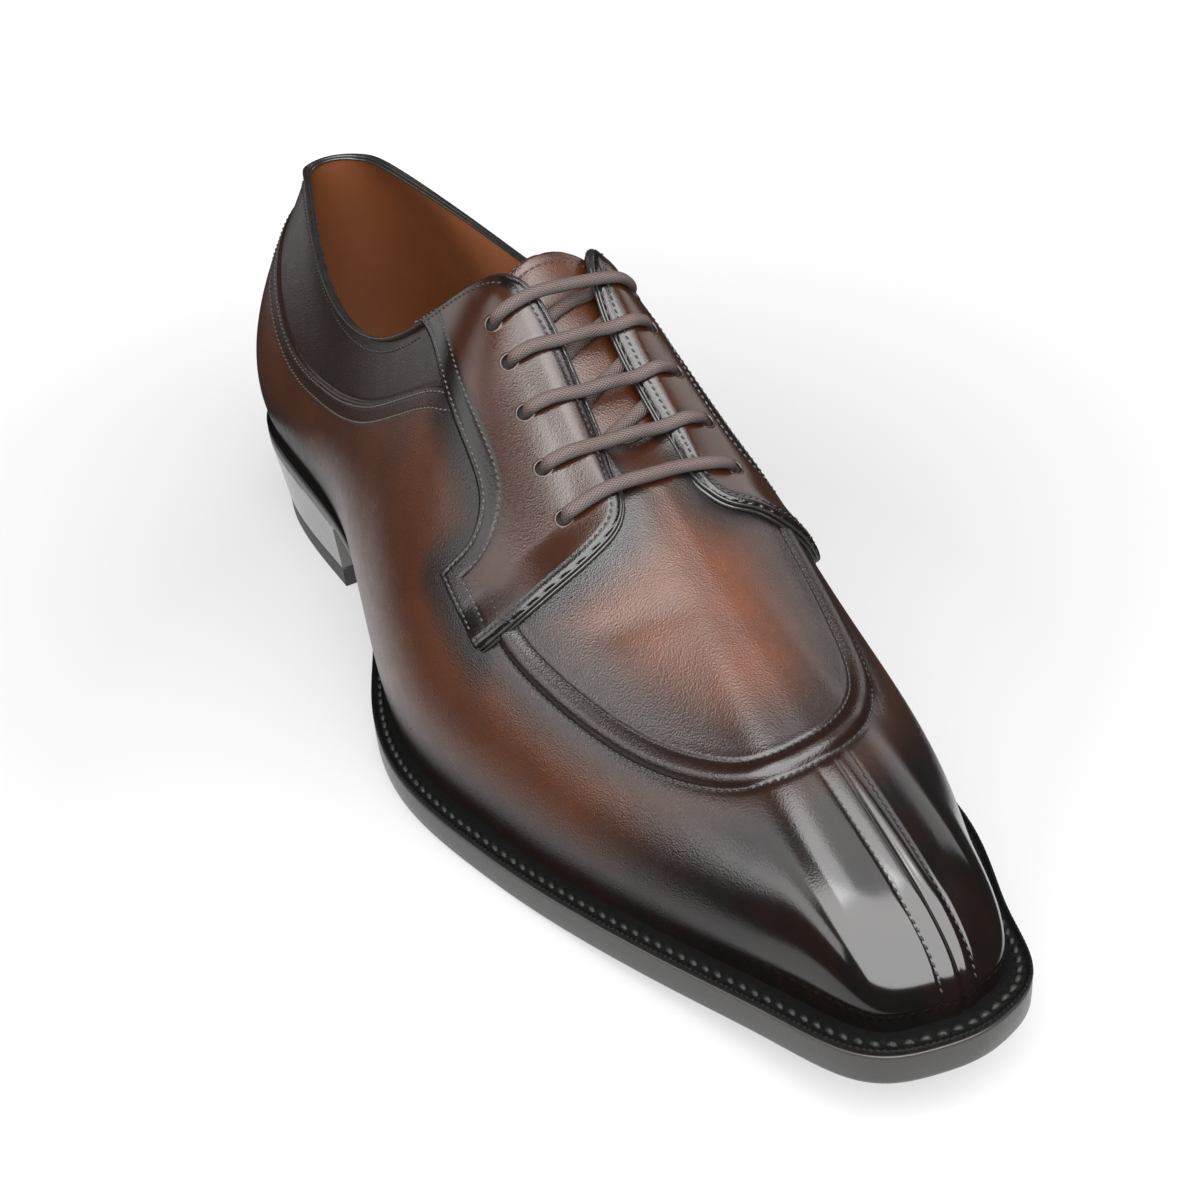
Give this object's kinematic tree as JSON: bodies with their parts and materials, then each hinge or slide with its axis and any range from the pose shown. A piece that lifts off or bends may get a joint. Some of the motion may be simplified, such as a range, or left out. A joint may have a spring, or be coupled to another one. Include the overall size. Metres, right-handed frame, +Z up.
{
  "type": "derby shoe",
  "caption": "Low lace-up derby shoe for the right foot with a hollow leather upper, apron and split toe, welted leather sole and stacked heel.",
  "frame": {"origin": "middle of the whole shoe seen from above, on the floor that it stands on", "axes": "+X from heel to toe, +Y to the wearer's left, which is the inner side of this right foot, +Z up"},
  "size_m": [0.3079, 0.0986, 0.1079],
  "materials": {
    "upper_leather": "hand-coloured brown calf, darkened at the seams, polished to a mirror gloss at the toe",
    "lining_leather": "plain tan lining leather, matt",
    "welt_leather": "black, wheeled and close stitched",
    "sole_leather": "black edge ink, waxed satin",
    "heel_rubber": "black, matt",
    "lace_cord": "waxed round braid, dusky brown"
  },
  "bodies": {
    "root": {"upper": "upper_leather", "tongue": "upper_leather", "insole": "lining_leather", "welt": "welt_leather", "outsole": "sole_leather", "heel": "sole_leather", "heel_top_piece": "heel_rubber", "lace_bar_1": "lace_cord", "lace_bar_2": "lace_cord", "lace_bar_3": "lace_cord", "lace_bar_4": "lace_cord", "lace_bar_5": "lace_cord", "lace_pass_1": "lace_cord", "lace_pass_2": "lace_cord", "lace_pass_3": "lace_cord", "lace_pass_4": "lace_cord"}
  },
  "joints": []
}
